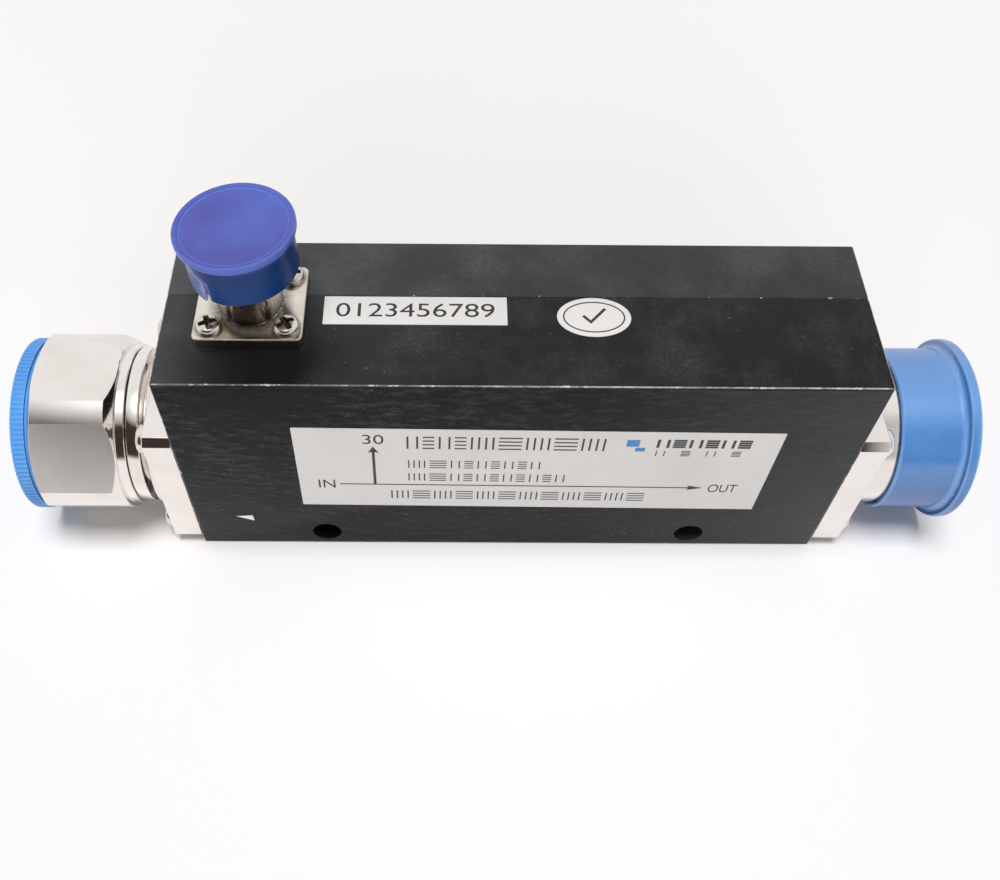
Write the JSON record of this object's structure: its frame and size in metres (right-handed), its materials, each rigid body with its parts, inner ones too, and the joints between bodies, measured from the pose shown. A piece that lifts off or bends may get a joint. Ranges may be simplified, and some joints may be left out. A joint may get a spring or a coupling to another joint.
{
  "type": "directional coupler",
  "caption": "Black two-piece block with a coaxial main line: plug with hex nut at one end, threaded socket at the other, coupled port on top, push-on dust caps.",
  "frame": {"origin": "centre of the block's bottom face", "axes": "+X from the input plug to the output socket, -Y to the front label, +Z to the coupled port"},
  "size_m": [0.1725, 0.0348, 0.0698],
  "materials": {
    "block": "black stoved paint on aluminium, slightly orange-peeled",
    "plated_brass": "bright white plating on turned brass",
    "silvered_brass": "silver-plated brass",
    "screw": "plated steel",
    "insulator": "white fluoropolymer",
    "seal": "silicone rubber",
    "resistor": "ceramic rod",
    "light_blue_cap": "satin polyethylene, slightly translucent",
    "dark_blue_cap": "satin polyethylene, slightly translucent",
    "sticker": "satin white sticker stock"
  },
  "bodies": {
    "coupler": {"front_block": "block", "rear_cover": "block", "cover_screws": "screw", "in_connector_body": "plated_brass", "in_flange_screws": "screw", "in_insulator": "insulator", "in_centre_pin": "silvered_brass", "nut_spring_ring": "screw", "in_sealing_ring": "seal", "out_connector_body": "plated_brass", "out_flange_screws": "screw", "out_insulator": "insulator", "out_centre_socket": "silvered_brass", "main_line": "silvered_brass", "coupled_strip": "silvered_brass", "strip_posts": "insulator", "load_resistor": "resistor", "tap_connector_body": "plated_brass", "tap_flange_screws": "screw", "tap_insulator": "insulator", "tap_centre_socket": "silvered_brass", "front_label": "sticker", "number_label": "sticker", "oval_label": "sticker"},
    "nut": {"coupling_nut": "plated_brass"},
    "input_cap": {"in_cap": "light_blue_cap"},
    "output_cap": {"out_cap": "light_blue_cap"},
    "coupled_cap": {"tap_cap": "dark_blue_cap"}
  },
  "joints": [
    {"name": "nut_spin", "type": "hinge", "parent": "coupler", "child": "nut", "pos_m": [-0.079, 0, 0.0175], "axis": [1, 0, 0], "continuous": true},
    {"name": "input_cap_pull", "type": "slide", "parent": "nut", "child": "input_cap", "axis": [-1, 0, 0], "range_m": [0, 0.02]},
    {"name": "output_cap_pull", "type": "slide", "parent": "coupler", "child": "output_cap", "axis": [1, 0, 0], "range_m": [0, 0.022]},
    {"name": "coupled_cap_pull", "type": "slide", "parent": "coupler", "child": "coupled_cap", "axis": [0, 0, 1], "range_m": [0, 0.02]}
  ]
}
